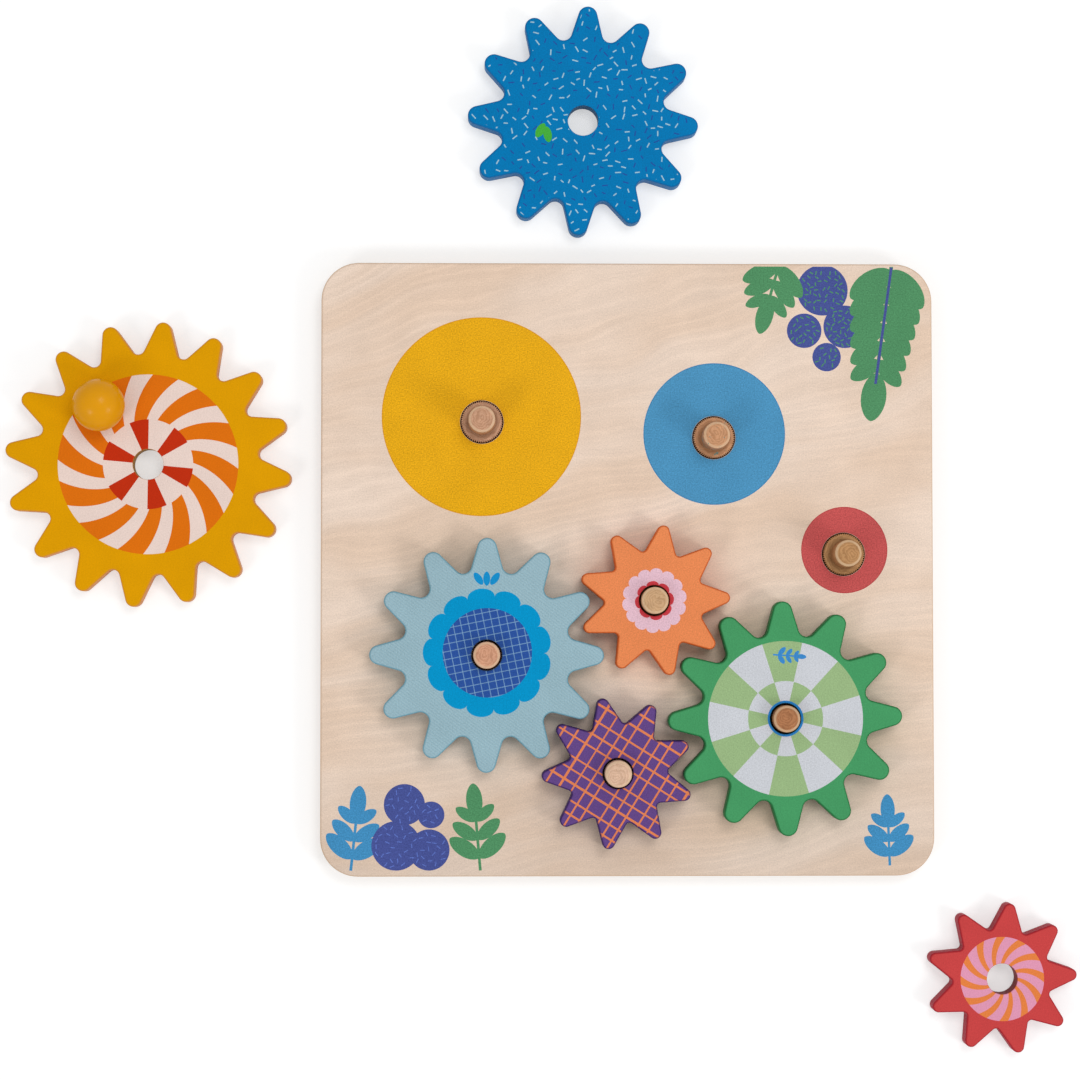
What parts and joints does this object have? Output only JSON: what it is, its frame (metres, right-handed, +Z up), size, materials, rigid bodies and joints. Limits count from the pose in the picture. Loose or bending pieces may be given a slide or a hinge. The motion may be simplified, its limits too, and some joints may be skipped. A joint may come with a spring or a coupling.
{
  "type": "crank gear toy",
  "caption": "Wooden toy: a square board with turned pegs that carry meshing star-toothed gears, one with a crank knob, and loose gears lying beside it.",
  "frame": {"origin": "centre of the board's underside", "axes": "+Z up out of the board, +Y towards the top edge of the board as pictured, +X to the right"},
  "size_m": [0.5242, 0.5143, 0.0342],
  "materials": {
    "plywood": "clear matt lacquer, partly printed",
    "turned_beech": "bare turned beech",
    "light_blue_paint": "painted and printed plywood, satin",
    "orange_paint": "painted and printed plywood, satin",
    "green_paint": "painted and printed plywood, satin",
    "purple_paint": "painted and printed plywood, satin",
    "crank_paint": "painted and printed plywood, satin",
    "blue_paint": "painted and printed plywood, satin",
    "red_paint": "painted and printed plywood, satin",
    "knob_paint": "glossy paint"
  },
  "bodies": {
    "baseboard": {"board": "plywood", "crank_gear_peg": "turned_beech", "blue_gear_peg": "turned_beech", "red_gear_peg": "turned_beech", "light_blue_gear_peg": "turned_beech", "orange_gear_peg": "turned_beech", "green_gear_peg": "turned_beech", "purple_gear_peg": "turned_beech"},
    "green_wheel": {"green_gear": "green_paint"},
    "light_blue_wheel": {"light_blue_gear": "light_blue_paint"},
    "orange_wheel": {"orange_gear": "orange_paint"},
    "purple_wheel": {"purple_gear": "purple_paint"},
    "crank_wheel": {"crank_gear": "crank_paint"},
    "crank_handle": {"crank_knob": "knob_paint", "crank_spindle": "turned_beech", "spindle_retainer": "turned_beech"},
    "blue_wheel": {"blue_gear": "blue_paint"},
    "red_wheel": {"red_gear": "red_paint"}
  },
  "joints": [
    {"name": "green_gear_spin", "type": "hinge", "parent": "baseboard", "child": "green_wheel", "pos_m": [0.0758, -0.07298, 0], "axis": [0, 0, 1], "continuous": true},
    {"name": "light_blue_gear_spin", "type": "hinge", "parent": "baseboard", "child": "light_blue_wheel", "pos_m": [-0.069, -0.0422, 0], "axis": [0, 0, 1], "continuous": true},
    {"name": "orange_gear_spin", "type": "hinge", "parent": "baseboard", "child": "orange_wheel", "pos_m": [0.01229, -0.01579, 0], "axis": [0, 0, 1], "continuous": true},
    {"name": "purple_gear_spin", "type": "hinge", "parent": "baseboard", "child": "purple_wheel", "pos_m": [-0.00548, -0.09939, 0], "axis": [0, 0, 1], "continuous": true},
    {"name": "crank_gear_spin", "type": "hinge", "parent": "baseboard", "child": "crank_wheel", "pos_m": [-0.2345, 0.051, 0], "axis": [0, 0, 1], "continuous": true},
    {"name": "crank_knob_spin", "type": "hinge", "parent": "crank_wheel", "child": "crank_handle", "pos_m": [-0.25716, 0.07898, 0], "axis": [0, 0, 1], "continuous": true},
    {"name": "blue_gear_spin", "type": "hinge", "parent": "baseboard", "child": "blue_wheel", "pos_m": [-0.0216, 0.221, 0], "axis": [0, 0, 1], "continuous": true},
    {"name": "red_gear_spin", "type": "hinge", "parent": "baseboard", "child": "red_wheel", "pos_m": [0.1832, -0.2006, 0], "axis": [0, 0, 1], "continuous": true}
  ],
  "couplings": [
    {"joint": "light_blue_gear_spin", "follows": "green_gear_spin", "ratio": 1},
    {"joint": "orange_gear_spin", "follows": "green_gear_spin", "ratio": -1.3333},
    {"joint": "purple_gear_spin", "follows": "green_gear_spin", "ratio": -1.3333}
  ]
}
